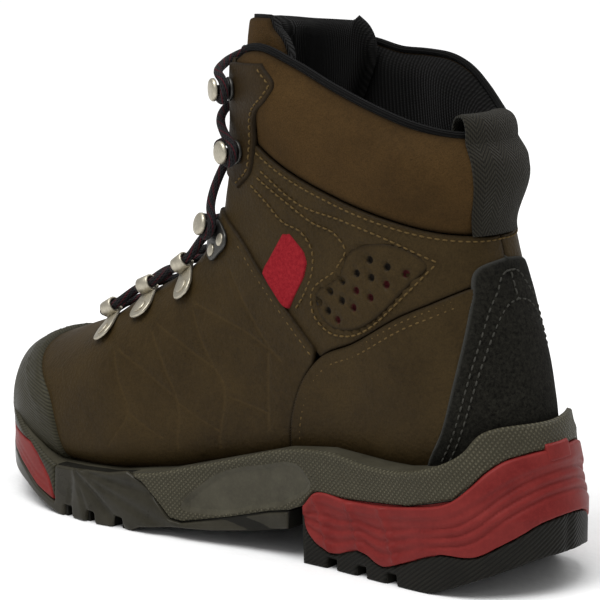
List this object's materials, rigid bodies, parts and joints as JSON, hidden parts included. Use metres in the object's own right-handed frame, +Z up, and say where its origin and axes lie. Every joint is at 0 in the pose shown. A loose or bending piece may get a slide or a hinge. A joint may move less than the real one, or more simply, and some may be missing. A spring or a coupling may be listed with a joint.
{
  "type": "hiking boot",
  "caption": "Right mid-height cross-country boot: leather upper, padded collar, hook and loop lacing, cup frame, heel wedge and lugged rubber outsole.",
  "frame": {"origin": "midway across the sole and midway along its length, on the ground under the lugs", "axes": "+Y towards the heel, -Y towards the toe, +Z up, +X towards the inner (medial) side of the right foot"},
  "size_m": [0.109, 0.302, 0.2209],
  "materials": {
    "leather": "waxed nubuck leather, matt, with fine creases and contrast stitching",
    "nubuck": "soft brushed nubuck, matt",
    "suede_red": "red suede, matt",
    "rubber": "moulded rubber, satin, fine diagonal texture",
    "toe_rubber": "moulded rubber rand, satin, fine ridges",
    "frame_grey": "moulded foam and rubber cup, matt, dotted texture",
    "wedge_red": "moulded midsole foam, matt",
    "knit": "ribbed knit lining",
    "counter": "coarse black suede textile with a pale cut edge",
    "webbing": "ribbed woven webbing",
    "board": "fibre board",
    "foam": "open-cell foam",
    "shank_grey": "glass-filled nylon",
    "metal": "satin champagne plating",
    "lace": "round braided lace, black with maroon flecks"
  },
  "bodies": {
    "boot": {"outsole_front": "rubber", "outsole_heel": "rubber", "midsole_wedge": "wedge_red", "midsole_toe_insert": "wedge_red", "midsole_frame": "frame_grey", "shank": "shank_grey", "insole_board": "board", "lining_medial": "knit", "lining_lateral": "knit", "toe_puff": "board", "heel_stiffener": "board", "vamp": "leather", "heel_quarter_medial": "leather", "heel_quarter_lateral": "leather", "ankle_panel_medial": "leather", "ankle_panel_lateral": "leather", "eyestay_facing_medial": "leather", "eyestay_facing_lateral": "leather", "collar_shell": "nubuck", "collar_foam": "foam", "eyestay_tab_medial": "nubuck", "eyestay_tab_lateral": "nubuck", "accent_medial": "suede_red", "accent_lateral": "suede_red", "vent_patch_medial": "leather", "vent_patch_lateral": "leather", "toe_rand": "toe_rubber", "heel_counter": "counter", "pull_loop": "webbing", "collar_piping": "webbing", "gusset_medial": "knit", "gusset_lateral": "knit", "lace": "lace", "lace_loop_1_medial": "metal", "lace_loop_2_medial": "metal", "lace_loop_3_medial": "metal", "locking_hook_medial": "metal", "speed_hook_1_medial": "metal", "speed_hook_2_medial": "metal", "lace_loop_1_lateral": "metal", "lace_loop_2_lateral": "metal", "lace_loop_3_lateral": "metal", "locking_hook_lateral": "metal", "speed_hook_1_lateral": "metal", "speed_hook_2_lateral": "metal"},
    "tongue": {"tongue_face": "nubuck", "tongue_pad": "knit"},
    "insole": {"footbed": "foam"}
  },
  "joints": [
    {"name": "tongue_hinge", "type": "hinge", "parent": "boot", "child": "tongue", "pos_m": [0.0035, -0.079, 0.0745], "axis": [-1, 0, 0], "range_deg": [0, 8], "deforming": ["gusset_medial", "gusset_lateral"]},
    {"name": "footbed_lift", "type": "hinge", "parent": "boot", "child": "insole", "pos_m": [0.0045, -0.119, 0.0335], "axis": [1, 0, 0], "range_deg": [0, 5]}
  ]
}
